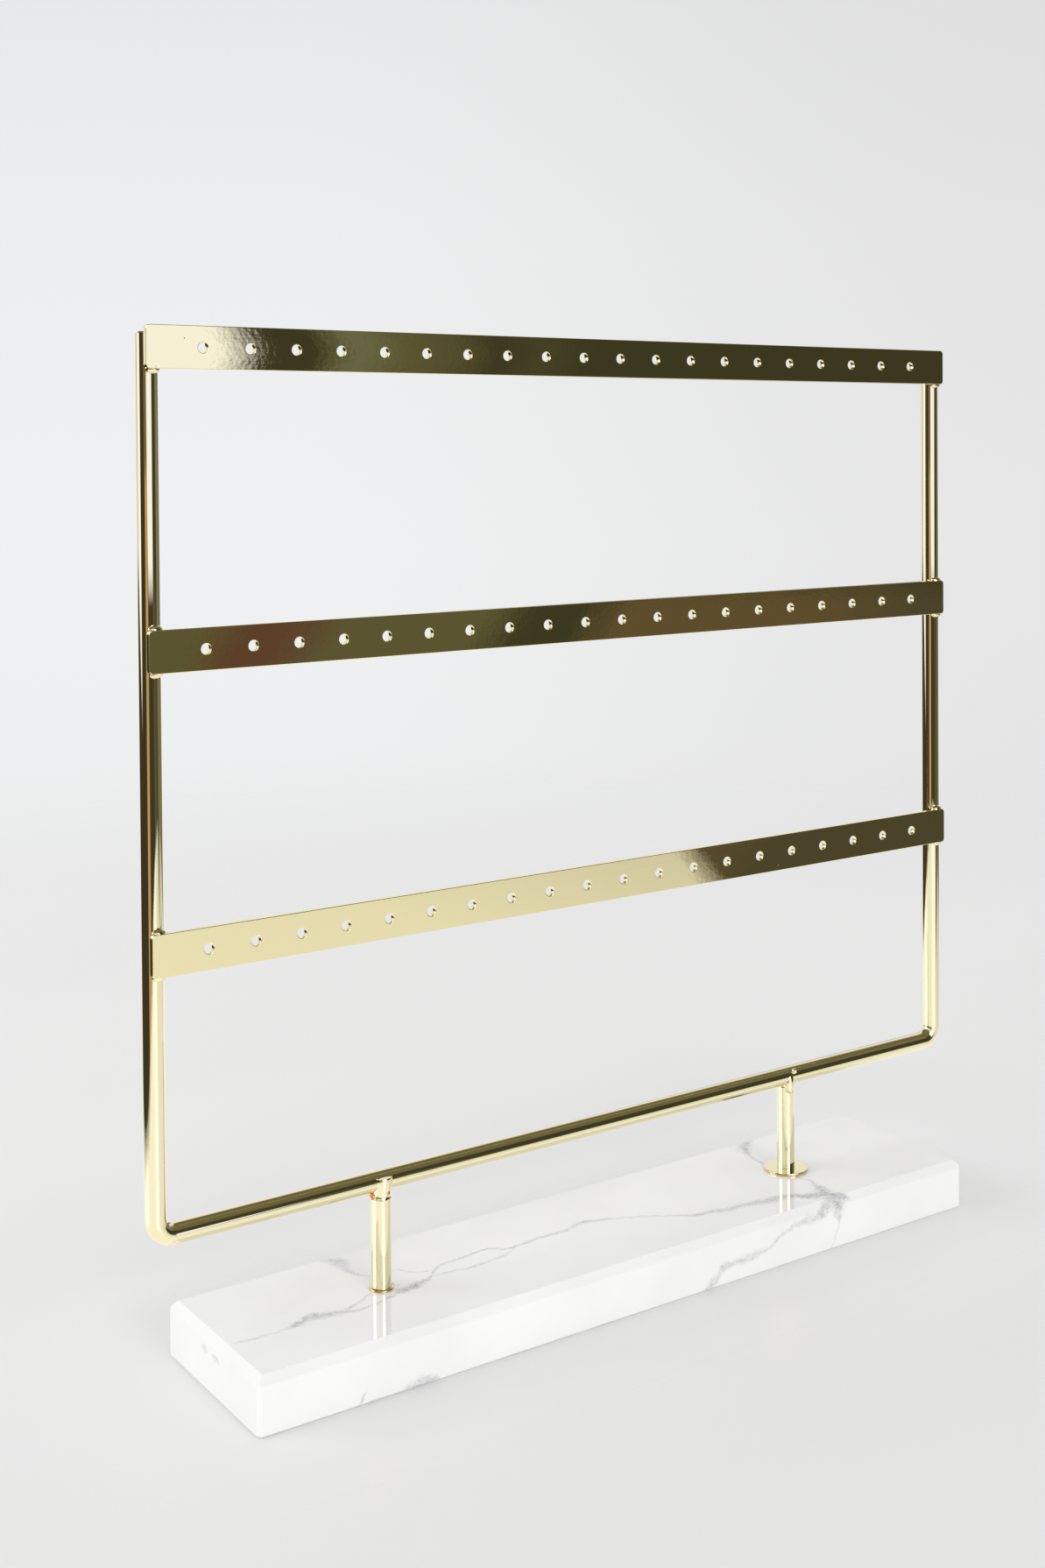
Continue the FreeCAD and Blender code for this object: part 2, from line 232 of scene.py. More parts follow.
# Every vein sways by up to 1.5 mm and frays by up to 1.3 mm.
warped = place_mm
for push, most in ((drift, 3), (fray, 2.6)):
    push = vector_maths(stone, "SUBTRACT", push, (0.5, 0.5, 0.5))
    push = vector_maths(stone, "MULTIPLY", push, (most, most, most))
    warped = vector_maths(stone, "ADD", warped, push)
axes = add_node(stone, "SeparateXYZ", {0: warped})
fibre = vector_maths(stone, "MULTIPLY", warped, (0.4, 1.0, 0.8))
grain = noise(stone, fibre, 1.7, 6.0, 0.75)["Fac"]
WIDEST_VEIN = 4.0


def follow(along, low, high, points, floor, top):
    """A curve drawn through points, read along an axis in millimetres."""
    node = add_node(stone, "FloatCurve", {"Value": spread(stone, along, low, high)})
    curve = node.mapping.curves[0]
    spots = [((a - low) / (high - low), (b - floor) / (top - floor)) for a, b in points]
    curve.points[0].location = spots[0]
    curve.points[1].location = spots[-1]
    for spot in spots[1:-1]:
        curve.points.new(*spot)
    node.mapping.update()
    return spread(stone, node.outputs[0], 0.0, 1.0, floor, top)


def vein(along, across, path, width, strength, low, high, floor, top):
    """Grey strength of a vein that follows a path; width and strength are curves along it."""
    middle = follow(along, low, high, path, floor, top)
    off = maths(stone, "ABSOLUTE", maths(stone, "SUBTRACT", across, middle))
    half = follow(along, low, high, width, 0.0, WIDEST_VEIN)
    near = spread(stone, off, half, 0.0, interpolation_type="SMOOTHSTEP")
    level = follow(along, low, high, strength, 0.0, 1.0)
    return maths(stone, "MULTIPLY", near, level)


main_path = [
    (-111, -5.6), (-106, -6.1), (-102, -5.9), (-96, -5.7), (-92, -4.8), (-89, -3.9), (-86, -4.4),
    (-81, -5.5), (-76, -7.2), (-72, -6.7), (-68, -5.6), (-64, -4.5), (-59, -3.7), (-55, -2.8),
    (-51, 0.6), (-46, 2.9), (-39, 3.1), (-33, 3.9), (-29, 1.2), (-20, 1.9), (-10, 1.8), (-4, 3.0),
    (1, 1.8), (9, -1.2), (16, -5.1), (20, -7.8), (24, -9.9), (29, -10.9), (33, -12.3), (38, -13.0),
    (46, -14.2), (55, -15.8), (59, -18.8), (63, -20.4), (67, -23.3), (70, -25.5),
]
main_width = [
    (-111, 0.9), (-97, 1.0), (-92, 2.2), (-86, 2.8), (-80, 1.8), (-74, 1.0), (-66, 1.1), (-61, 2.4),
    (-56, 1.9), (-50, 1.0), (-30, 0.9), (-10, 1.0), (0, 1.2), (12, 0.8), (20, 1.0), (29, 1.7),
    (33, 2.3), (38, 1.7), (44, 2.6), (49, 3.0), (55, 2.6), (60, 3.8), (66, 3.6), (70, 2.0),
]
main_strength = [
    (-111, 0.0), (-106, 0.4), (-97, 0.3), (-92, 0.85), (-86, 0.7), (-80, 0.55), (-74, 0.45),
    (-66, 0.5), (-61, 0.85), (-55, 0.7), (-50, 0.5), (-30, 0.6), (-10, 0.5), (0, 0.55), (12, 0.35),
    (20, 0.45), (29, 0.65), (38, 0.6), (46, 0.7), (55, 0.75), (61, 0.95), (66, 0.85), (70, 0.0),
]
main_vein = vein(
    axes.outputs[0], axes.outputs[1], main_path, main_width, main_strength, -111, 70, -26, 26
)
side_vein = vein(
    axes.outputs[0], axes.outputs[1],
    [(-86, -4.6), (-81, -4.8), (-76, -3.9), (-72, -1.9), (-66, -0.8), (-60, -1.6), (-52, -1.9),
     (-46, -2.4), (-39, -3.0), (-31, -1.4), (-26, 1.0)],
    [(-86, 0.9), (-76, 0.9), (-60, 0.6), (-39, 0.8), (-26, 0.6)],
    [(-86, 0.0), (-81, 0.45), (-72, 0.45), (-66, 0.15), (-56, 0.1), (-50, 0.4), (-34, 0.4),
     (-26, 0.0)],
    -86, -26, -26, 26,
)
back_vein = vein(
    axes.outputs[1], axes.outputs[0],
    [(6.5, -65.0), (8, -66.2), (11, -68.4), (13, -68.9), (17, -68.5), (20, -68.6), (23.5, -71.5)],
    [(6.5, 0.7), (11, 1.4), (15, 2.4), (20, 4.0), (23.5, 3.0)],
    [(6.5, 0.0), (8, 0.25), (11, 0.45), (15, 0.45), (20, 0.6), (23.5, 0.0)],
    6.5, 23.5, -90, -50,
)
tail_vein = vein(
    axes.outputs[0], axes.outputs[1],
    [(-66, 8.0), (-59, 6.9), (-55.4, 3.2), (-52, 1.9), (-48, 1.6)],
    [(-66, 0.7), (-48, 0.7)],
    [(-66, 0.0), (-63, 0.25), (-56, 0.35), (-48, 0.0)],
    -66, -48, -26, 26,
)
cross_vein = vein(
    axes.outputs[1], axes.outputs[0],
    [(-24.5, 63.5), (-20, 63.8), (-16, 64.9), (-11, 66.0), (-7, 65.0), (2, 63.2), (10, 64.8),
     (15, 65.8), (19, 67.6), (22.5, 71.5), (24.5, 74)],
    [(-24.5, 4.0), (-18, 3.4), (-14, 1.4), (-8, 0.9), (4, 0.8), (11, 1.0), (16, 2.2), (21, 4.0),
     (24.5, 4.0)],
    [(-24.5, 0.0), (-22.5, 0.7), (-17, 0.75), (-13, 0.5), (-6, 0.4), (4, 0.4), (12, 0.5), (20, 0.7),
     (24.5, 0.0)],
    -24.5, 24.5, 50, 90,
)
front_vein = vein(
    axes.outputs[0], axes.outputs[2],
    [(16, -0.5), (18, 0.9), (20.5, 2.0), (22, 4.2), (25, 4.7), (32, 5.4), (36.5, 5.7), (40, 6.5),
     (43, 8.0), (47, 9.2), (51, 9.9), (55, 10.0), (58, 11.1), (62, 13.5), (64, 15.0)],
    [(16, 1.0), (21, 2.4), (26, 1.4), (32, 1.7), (38, 0.9), (46, 0.9), (54, 1.9), (59, 2.2),
     (64, 1.4)],
    [(16, 0.4), (22, 0.5), (32, 0.5), (40, 0.4), (50, 0.4), (57, 0.6), (64, 0.6)],
    16, 64, -4, 16,
)
drop_vein = vein(
    axes.outputs[2], axes.outputs[0],
    [(-0.5, 61.3), (4, 63.2), (8, 64.6), (10.5, 64.2), (13.5, 63.6)],
    [(-0.5, 0.6), (7, 0.8), (9, 2.6), (11, 3.8), (13.5, 4.0)],
    [(-0.5, 0.3), (6.5, 0.35), (9, 0.5), (11, 0.65), (13.5, 0.7)],
    -0.5, 13.5, 50, 90,
)
front_side = spread(stone, axes.outputs[1], -19.0, -22.5)
foot_vein = vein(
    axes.outputs[0], axes.outputs[2],
    [(-76, -0.5), (-72, 0.6), (-68, 0.9), (-65, 1.2)],
    [(-76, 1.6), (-71, 2.2), (-65, 1.2)],
    [(-76, 0.0), (-73, 0.6), (-67, 0.55), (-65, 0.0)],
    -76, -65, -4, 16,
)
spur_vein = vein(
    axes.outputs[2], axes.outputs[0],
    [(-1, -86.6), (1.5, -85.8), (4, -84.9)],
    [(-1, 0.8), (4, 0.6)],
    [(-1, 0.7), (1.6, 0.6), (3.4, 0.1), (4, 0.0)],
    -1, 4, -100, -70,
)
veins = main_vein
for other in (side_vein, back_vein, tail_vein, cross_vein):
    veins = maths(stone, "MAXIMUM", veins, other)
# The sheets seen on top stop at the front face, which has thin veins of its own.
spot = add_node(stone, "SeparateXYZ", {0: place_mm})
inner = spread(stone, spot.outputs[1], -24.45, -23.4)
veins = maths(stone, "MULTIPLY", veins, inner)
for other in (front_vein, drop_vein, foot_vein, spur_vein):
    veins = maths(stone, "MAXIMUM", veins, maths(stone, "MULTIPLY", other, front_side))
broken = spread(stone, grain, 0.38, 0.62, 0.2, 1.3)
veins = maths(stone, "MULTIPLY", veins, broken, use_clamp=True)
cloud = spread(stone, noise(stone, place_mm, 0.03, 3.0)["Fac"], 0.35, 0.7)
ground = blend(stone, cloud, hex_colour("#F4F4F3"), hex_colour("#EDEDED"))
colour = blend(stone, veins, ground, hex_colour("#A3A4A7"))
# The pits in the left end were never polished, so they are dull; their colour is darkened a little
# as painted shade in the hollows.
end = -SLAB_LENGTH / 2
pit_dull_and_shaded = maths(stone, "GREATER_THAN", spot.outputs[0], end + 0.03)
for axis, test, limit in (
    (0, "LESS_THAN", end + 0.5), (2, "LESS_THAN", 10.8), (2, "GREATER_THAN", 7.5),
    (1, "LESS_THAN", 6), (1, "GREATER_THAN", -7),
):
    pit_dull_and_shaded = maths(stone, "MULTIPLY", pit_dull_and_shaded, maths(stone, test, spot.outputs[axis], limit))
# Painted shade: the box round the pits is given a darker, greyer colour.
colour = blend(stone, pit_dull_and_shaded, colour, hex_colour("#E6E4DF"))
stone.links.new(colour, shader.inputs["Base Color"])
gloss = add_node(stone, "Mix", {0: pit_dull_and_shaded, 2: 0.04, 3: 0.5}).outputs[0]
stone.links.new(gloss, shader.inputs["Roughness"])
shader.inputs["IOR"].default_value = 1.5
slab.data.materials.append(marble)
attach(slab, "root")
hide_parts("base_slab")


# Frame rod: 5 mm steel bar bent twice into a U, plated bright light gold. Both bends are tight:
# the inner radius is only 2 mm. The tips are chamfered.

ROD_RADIUS, ROD_X, RAIL_Z, ROD_TIP_Z = 2.5, 126.25, 40.4, 247.9
BEND_RADIUS = 4.5
TIP_CHAMFER = 0.4

bend_top = RAIL_Z + BEND_RADIUS
bpy.ops.mesh.primitive_circle_add(
    vertices=64, radius=(ROD_RADIUS - TIP_CHAMFER) * MM, fill_type="NGON",
    location=(-ROD_X * MM, 0, ROD_TIP_Z * MM),
)
rod = name_new("gold_frame_rod")


def push_out(dx, dy, dz):
    """Extrudes the selected end and moves it, in millimetres."""
    bpy.ops.mesh.extrude_region_move(TRANSFORM_OT_translate={"value": (dx * MM, dy * MM, dz * MM)})


def bend(x):
    """Bends the selected end by a quarter turn, about a line from front to back at x."""
    bpy.ops.mesh.spin(
        steps=14, angle=math.radians(90), center=(x * MM, 0, bend_top * MM), axis=(0, 1, 0)
    )


bpy.ops.object.mode_set(mode="EDIT")
bpy.ops.mesh.select_all(action="SELECT")
push_out(0, 0, -TIP_CHAMFER)
widen = ROD_RADIUS / (ROD_RADIUS - TIP_CHAMFER)
bpy.ops.transform.resize(value=(widen, widen, 1))
push_out(0, 0, bend_top - (ROD_TIP_Z - TIP_CHAMFER))
bend(BEND_RADIUS - ROD_X)
push_out(2 * (ROD_X - BEND_RADIUS), 0, 0)
bend(ROD_X - BEND_RADIUS)
push_out(0, 0, ROD_TIP_Z - TIP_CHAMFER - bend_top)
push_out(0, 0, TIP_CHAMFER)
bpy.ops.transform.resize(value=(1 / widen, 1 / widen, 1))
bpy.ops.mesh.select_all(action="SELECT")
bpy.ops.mesh.normals_make_consistent(inside=False)
bpy.ops.object.mode_set(mode="OBJECT")
shade(rod, 35)


def raised(tree, height, tall, under=None):
    """A bump that stands a height in millimetres proud, laid over the one under it."""
    inputs = {"Height": height, "Strength": 1.0, "Distance": tall * MM}
    if under:
        inputs["Normal"] = under
    return add_node(tree, "Bump", inputs).outputs[0]


# Light-gold electroplate on polished steel: a bright yellow-white metal that mirrors the room.
# The drawn bar under it is straight and smooth, with a slow sway and a few tiny pits.
gold, plate, shader = new_material("light_gold_electroplate")
place_mm = place_in_mm(plate)
sway = noise(plate, place_mm, 0.06, 1.0)["Fac"]
specks = add_node(plate, "TexVoronoi", {"Vector": place_mm, "Scale": 0.16}, feature="F1")
specks = spread(plate, specks.outputs["Distance"], 0.015, 0.035, 1.0, 0.0)
bump = raised(plate, specks, 0.01, raised(plate, sway, 0.03))
plate.links.new(bump, shader.inputs["Normal"])
shader.inputs["Base Color"].default_value = hex_colour("#F3EAC3")
shader.inputs["Metallic"].default_value = 1.0
shader.inputs["Roughness"].default_value = 0.02
rod.data.materials.append(gold)
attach(rod, "root")
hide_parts("frame_rod")


# Three flat strips: 10 x 1.5 mm steel with rounded corners, 20 punched holes each, welded across
# the front of both uprights and plated with them.

STRIP_LENGTH, STRIP_HEIGHT, STRIP_THICKNESS = 256.0, 10.0, 1.5
STRIP_CORNER = 1.0
HOLE_RADIUS, HOLE_PITCH, FIRST_HOLE, HOLE_COUNT = 1.25, 12.0, -114.0, 20
STRIP_Z = {"bottom_strip": 106.0, "middle_strip": 175.2, "top_strip": 244.4}
strip_y = -(ROD_RADIUS + STRIP_THICKNESS / 2)

bpy.ops.mesh.primitive_cube_add(
    size=1, location=(0, strip_y * MM, 0),
    scale=(STRIP_LENGTH * MM, STRIP_THICKNESS * MM, STRIP_HEIGHT * MM),
)
strip = name_new("gold_strip")
pick(strip, lambda p: abs(p.x) > STRIP_LENGTH / 2 - 0.1, along=1)
bpy.ops.mesh.bevel(offset=STRIP_CORNER * MM, segments=8)
bpy.ops.object.mode_set(mode="OBJECT")
punches = []
for number in range(HOLE_COUNT):
    bpy.ops.mesh.primitive_cylinder_add(
        vertices=40, radius=HOLE_RADIUS * MM, depth=4 * STRIP_THICKNESS * MM,
        location=((FIRST_HOLE + number * HOLE_PITCH) * MM, strip_y * MM, 0),
        rotation=(math.pi / 2, 0, 0),
    )
    punches.append(name_new("punch"))
select_only(punches[0])
for punch in punches:
    punch.select_set(True)
bpy.ops.object.join()
drill(strip, bpy.context.object)
soften(strip, 0.22, steps=3, angle=40)

# The same plate on cold-rolled strip: the buffed steel keeps a faint orange peel and rolling lines.
strip_gold = gold.copy()
strip_gold.name = "light_gold_on_rolled_strip"
plate = strip_gold.node_tree
shader = plate.nodes["Principled BSDF"]
place_mm = place_in_mm(plate)
bump = shader.inputs["Normal"].links[0].from_socket
bump = raised(plate, noise(plate, place_mm, 0.8, 2.0)["Fac"], 0.004, bump)
along = vector_maths(plate, "MULTIPLY", place_mm, (0.05, 1.0, 1.0))
bump = raised(plate, noise(plate, along, 2.2, 2.0)["Fac"], 0.0012, bump)
plate.links.new(bump, shader.inputs["Normal"])
shader.inputs["Base Color"].default_value = hex_colour("#F3E9BA")
strip.data.materials.append(strip_gold)
for node, height in STRIP_Z.items():
    piece = strip.copy()
    piece.data = strip.data.copy()
    bpy.context.collection.objects.link(piece)
    piece.name = piece.data.name = "gold_" + node
    piece.location.z = height * MM
    select_only(piece)
    bpy.ops.object.transform_apply(location=True)
    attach(piece, "root")
    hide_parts(node)
bpy.data.objects.remove(strip)


# Weld beads: small drops of weld metal above and below each strip, where it crosses an upright.
# They were ground little, so they stay lumpy under the plate.

BEAD_LENGTH, BEAD_HEIGHT, BEAD_DEPTH = 3.4, 2.2, 2.2
BEAD_INSET, BEAD_FORWARD = 0.3, 0.2


def lumpy_drop(name, x, y, z, length, depth, height, seed, ripples=0.25):
    """A drop of weld metal: a ball with an uneven, rippled surface."""
    bpy.ops.mesh.primitive_ico_sphere_add(
        subdivisions=4, radius=0.5, location=(x * MM, y * MM, z * MM),
        scale=(length * MM, depth * MM, height * MM),
    )
    drop = name_new(name)
    ripple = bpy.data.textures.new(name + "_ripple", "CLOUDS")
    ripple.noise_scale = (0.8 + 0.13 * seed) * MM
    apply_modifier(
        drop, "ripple", "DISPLACE", texture=ripple, texture_coords="LOCAL",
        strength=ripples * MM, mid_level=0.5,
    )
    bpy.ops.object.shade_smooth()
    drop.data.materials.append(gold)
    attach(drop, "root")
    return drop


for node, height in STRIP_Z.items():
    for side, word in ((-1, "left"), (1, "right")):
        for edge, place_word in ((-1, "lower"), (1, "upper")):
            if node == "top_strip" and edge == 1:
                continue
            seed = len(bpy.data.textures) % 5
            bead = lumpy_drop(
                "_".join(("weld", node, word, place_word)),
                side * (ROD_X - BEAD_INSET), -ROD_RADIUS - BEAD_FORWARD,
                height + edge * STRIP_HEIGHT / 2, BEAD_LENGTH, BEAD_DEPTH, BEAD_HEIGHT, seed,
            )
            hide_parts(node)


# Two posts: the same 5 mm bar, welded under the rail. The left one is flared where it meets the
# slab. Below the slab's top each is turned down to a 4 mm threaded spigot.

SPIGOT_RADIUS, SPIGOT_END = 2.0, 0.8
THREAD_PITCH, THREAD_DEPTH, THREAD_TURNS = 0.7, 0.3, 6


def turned_piece(name, x, profile, y=0, lean=0):
    """A turned piece: pairs of radius and height, from the lowest ring up. Its axis may lean."""
    radius, height = profile[0]
    bpy.ops.mesh.primitive_circle_add(
        vertices=64, radius=radius * MM, fill_type="NGON", location=(x * MM, y * MM, height * MM)
    )
    piece = name_new(name)
    bpy.ops.object.mode_set(mode="EDIT")
    bpy.ops.mesh.select_all(action="SELECT")
    for next_radius, next_height in profile[1:]:
        push_out(lean * (next_height - height), 0, next_height - height)
        grow = next_radius / radius
        bpy.ops.transform.resize(value=(grow, grow, 1))
        radius, height = next_radius, next_height
    bpy.ops.mesh.select_all(action="SELECT")
    bpy.ops.mesh.normals_make_consistent(inside=False)
    bpy.ops.object.mode_set(mode="OBJECT")
    return piece


thread = [(SPIGOT_RADIUS - THREAD_DEPTH - 0.1, SPIGOT_END)]
for turn in range(THREAD_TURNS):
    crest = SPIGOT_END + (turn + 0.5) * THREAD_PITCH
    thread.append((SPIGOT_RADIUS, crest))
    thread.append((SPIGOT_RADIUS - THREAD_DEPTH, crest + THREAD_PITCH / 2))
thread.append((SPIGOT_RADIUS, thread[-1][1] + 0.3))
left_foot = [
    (2.0, 13.4), (3.0, 13.5), (3.12, 13.58), (3.12, 13.92), (3.04, 14.02), (2.58, 14.12),
    (2.5, 14.3),
]
right_foot = [(2.0, 14.2), (2.42, 14.3), (2.5, 14.38)]
left_top = [
    (2.5, 36.0), (2.42, 36.15), (2.4, 36.35), (2.5, 36.6), (2.58, 37.1), (2.5, 37.7), (2.2, 38.2),
    (1.8, 38.8),
]
right_top = [(2.5, 37.3), (2.55, 37.6), (2.45, 38.0), (2.2, 38.3), (1.8, 38.8)]
left_fillet = [
    (1.9, 36.2), (2.35, 36.35), (2.5, 36.6), (2.34, 36.9), (2.26, 37.3), (2.36, 38.6), (2.56, 40.4),
    (2.6, 41.6), (2.5, 41.78), (0.6, 41.95),
]
right_fillet = [
    (1.5, 36.0), (1.8, 36.5), (1.88, 37.6), (1.85, 38.6), (1.75, 39.6), (1.5, 40.6), (1.15, 41.4),
    (0.75, 42.0), (0.35, 42.4),
]

# The same plate, painted a deeper, redder gold at the foot: painted shade and a painted reflection
# of the shaded slab.
gold_painted_dark_at_foot = gold.copy()
gold_painted_dark_at_foot.name = "light_gold_painted_shade_at_foot"
plate = gold_painted_dark_at_foot.node_tree
level = add_node(plate, "SeparateXYZ", {0: place_in_mm(plate)}).outputs[2]
foot_shade_mask = spread(plate, level, 14.22, 13.9)
# Painted shade and reflection: below 14.22 mm the gold turns deeper and redder at the foot rims.
colour = blend(plate, foot_shade_mask, hex_colour("#F3EAC3"), hex_colour("#EED08A"))
plate.links.new(colour, plate.nodes["Principled BSDF"].inputs["Base Color"])

for side, word, ends in ((-1, "left", left_foot + left_top), (1, "right", right_foot + right_top)):
    post = turned_piece("gold_%s_post" % word, side * POST_X, thread + ends)
    shade(post, 40)
    post.data.materials.append(gold_painted_dark_at_foot)
    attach(post, "root")
    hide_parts(word + "_post")
    if side == -1:
        weld = turned_piece("weld_left_post", -POST_X - 0.4, left_fillet, y=-1.0, lean=0.06)
    else:
        weld = turned_piece("weld_right_post", POST_X, right_fillet, y=-1.15)
        spatter = lumpy_drop("weld_right_spatter", POST_X + 1.5, -2.1, 42.0, 1.5, 1.5, 1.7, 4, 0.1)
        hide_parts("right_post")
    shade(weld, 50)
    weld.data.materials.append(gold)
    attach(weld, "root")
    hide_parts(word + "_post")


# The left weld was run hotter: two drops beside it kept a copper tint from the heat.
tinted = gold.copy()
tinted.name = "heat_tinted_electroplate"
plate = tinted.node_tree
blush = spread(plate, noise(plate, place_in_mm(plate), 0.9, 1.0)["Fac"], 0.3, 0.5)
colour = blend(plate, blush, hex_colour("#F3E9BB"), hex_colour("#EE9A60"))
plate.links.new(colour, plate.nodes["Principled BSDF"].inputs["Base Color"])
for number, (dx, dy, z, size) in enumerate(((-2.55, -0.65, 37.1, 1.8), (0.36, -2.95, 38.0, 1.1))):
    nugget = lumpy_drop(
        "weld_left_post_%d" % number, -POST_X + dx, dy, z, size, size, size, number, 0.1
    )
    nugget.data.materials[0] = tinted
    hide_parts("left_post")


# Washer under the right post: thin pressed steel, plated with the frame, edges rounded by tumbling.

WASHER_RADIUS, WASHER_TOP, WASHER_HOLE_RADIUS = 6.25, 14.3, 2.15

washer = turned_piece(
    "gold_foot_washer", POST_X,
    [(WASHER_RADIUS - 0.15, SLAB_HEIGHT), (WASHER_RADIUS, SLAB_HEIGHT + 0.1),
     (WASHER_RADIUS, WASHER_TOP - 0.18), (WASHER_RADIUS - 0.05, WASHER_TOP - 0.06),
     (WASHER_RADIUS - 0.2, WASHER_TOP)],
)
bore(washer, POST_X, SLAB_HEIGHT - 1, WASHER_TOP + 1, WASHER_HOLE_RADIUS)
shade(washer, 35)
# Its rim carries the painted shade and reflection at the foot.
washer.data.materials.append(gold_painted_dark_at_foot)
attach(washer, "root")
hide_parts("right_foot_washer")


# Two hexagon nuts in the slab's counterbores: zinc-plated steel, chamfered, with a plain bore.

NUT_FLATS, NUT_BOTTOM, NUT_TOP, NUT_BORE_RADIUS = 7.0, 1.5, 4.7, 2.05
nut_corner = NUT_FLATS / 2 / math.cos(math.radians(30))

zinc, _, shader = new_material("zinc_plated_steel")
shader.inputs["Base Color"].default_value = hex_colour("#C6C9CC")
shader.inputs["Metallic"].default_value = 1.0
shader.inputs["Roughness"].default_value = 0.32
for side, word in ((-1, "left"), (1, "right")):
    bpy.ops.mesh.primitive_cylinder_add(
        vertices=6, radius=nut_corner * MM, depth=(NUT_TOP - NUT_BOTTOM) * MM,
        location=(side * POST_X * MM, 0, (NUT_BOTTOM + NUT_TOP) / 2 * MM),
    )
    nut = name_new("zinc_%s_nut" % word)
    shape = turned_piece(
        "nut_chamfer", side * POST_X,
        [(nut_corner - 0.35, NUT_BOTTOM - 0.01), (nut_corner, NUT_BOTTOM + 0.2),
         (nut_corner + 0.02, NUT_BOTTOM + 0.3), (nut_corner + 0.02, NUT_TOP - 0.3),
         (nut_corner - 0.35, NUT_TOP + 0.01)],
    )
    apply_modifier(nut, "chamfer", "BOOLEAN", operation="INTERSECT", solver="EXACT", object=shape)
    bpy.data.objects.remove(shape)
    bore(nut, side * POST_X, NUT_BOTTOM - 1, NUT_TOP + 1, NUT_BORE_RADIUS, sides=48)
    soften(nut, 0.08, steps=1, angle=30)
    nut.data.materials.append(zinc)
    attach(nut, "root")
    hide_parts(word + "_nut")


# Table: a pale, slightly glossy surface. Its rim fades out, so that the table and the pale room
# join without a line, and the gold mirrors the table only as far as it reaches.

TABLE_RADIUS, POLISHED, DULL = 1.6, 0.22, 0.85

bpy.ops.mesh.primitive_circle_add(
    vertices=96, radius=TABLE_RADIUS, fill_type="NGON", location=(0, 0, 0)
)
table = name_new("table")
top, tree, shader = new_material("pale_lacquered_table")
place = add_node(tree, "TexCoord").outputs["Object"]
x, y = add_node(tree, "SeparateXYZ", {0: place}).outputs[:2]
path = add_node(tree, "LightPath")
in_mirror, in_camera = path.outputs["Is Glossy Ray"], path.outputs["Is Camera Ray"]
rim = spread(tree, vector_maths(tree, "LENGTH", place), 0.35, 0.95, interpolation_type="SMOOTHSTEP")
# In the gold the table ends sooner: past a slanting line at the front right, and past a circle.
slant = spread(tree, maths(tree, "MULTIPLY_ADD", y, 0.57, x), 0.115, 0.135)
corner = maths(tree, "MULTIPLY", slant, spread(tree, y, -0.18, -0.26))
far = spread(tree, vector_maths(tree, "DISTANCE", place, (0.09, -0.16, 0)), 0.4, 0.46)
mirrored_rim = maths(tree, "MAXIMUM", corner, far)
fade = add_node(tree, "Mix", {0: in_mirror, 2: rim, 3: mirrored_rim}).outputs[0]
# Painted reflection: in the gold the table is lighter at the left and darker to the right.
mirrored = blend(tree, spread(tree, x, 0.15, 0.42), grey(0.95), grey(0.7))
# Painted light falloff: for the camera the table is darker towards the front.
near = spread(tree, y, 0.2, -0.25)
lacquer_and_painted_light = blend(tree, near, hex_colour("#F1F1F1"), hex_colour("#E7E7E7"))
lacquer_and_painted_light = blend(tree, in_mirror, lacquer_and_painted_light, mirrored)
tree.links.new(lacquer_and_painted_light, shader.inputs["Base Color"])
# Painted light: in mirrors the table also glows a little, though it is no lamp.
glow = maths(tree, "MULTIPLY", in_mirror, 0.155)
tree.links.new(glow, shader.inputs["Emission Strength"])
shader.inputs["Emission Color"].default_value = (1.0, 0.99, 0.98, 1.0)
# For the camera the gloss is lost away from the slab, so that no lamp burns out the surface.
beside = vector_maths(tree, "ABSOLUTE", place)
beside = vector_maths(tree, "SUBTRACT", beside, (SLAB_LENGTH / 2 * MM, SLAB_WIDTH / 2 * MM, 0))
beside = vector_maths(tree, "LENGTH", vector_maths(tree, "MAXIMUM", beside, (0, 0, 0)))
rough = spread(tree, beside, 0.01, 0.12, POLISHED, DULL, interpolation_type="SMOOTHSTEP")
rough = add_node(tree, "Mix", {0: in_camera, 2: POLISHED, 3: rough}).outputs[0]
tree.links.new(rough, shader.inputs["Roughness"])
shader.inputs["IOR"].default_value = 1.45
clear = add_node(tree, "BsdfTransparent")
mixed = add_node(tree, "MixShader", {0: fade, 1: shader.outputs[0], 2: clear.outputs[0]})
tree.links.new(mixed.outputs[0], tree.nodes["Material Output"].inputs["Surface"])
table.data.materials.append(top)


# Room: a bright backdrop behind the stand, a window at the left, a wooden door behind the camera,
# a lit gap to its right, and dim walls and ceiling elsewhere. The camera sees only a pale wall.

room = bpy.data.worlds.new("studio_room")
bpy.context.scene.world = room
room.use_nodes = True
tree = room.node_tree
tree.nodes.clear()
look = add_node(tree, "TexCoord").outputs["Generated"]
x, y, z = add_node(tree, "SeparateXYZ", {0: look}).outputs
bearing = maths(tree, "ARCTAN2", x, maths(tree, "MULTIPLY", y, -1.0))
lift = maths(tree, "SUBTRACT", maths(tree, "ARCSINE", z), math.radians(3))
turn = maths(tree, "MULTIPLY_ADD", maths(tree, "ABSOLUTE", lift), 0.6, bearing)
turn = spread(tree, turn, -math.pi, math.pi)


def colour_ramp(value, stops):
    """A ramp of colours, from pairs of position and colour."""
    node = add_node(tree, "ValToRGB", {"Fac": value})
    ramp = node.color_ramp
    ramp.elements[0].color = stops[0][1]
    ramp.elements[1].color = stops[-1][1]
    for position, colour in stops[1:-1]:
        ramp.elements.new(position).color = colour
    return node.outputs[0]


def wall_colours(stops):
    """Colours round the room, from pairs of bearing in degrees and colour."""
    return colour_ramp(turn, [((angle + 180) / 360, colour) for angle, colour in stops])


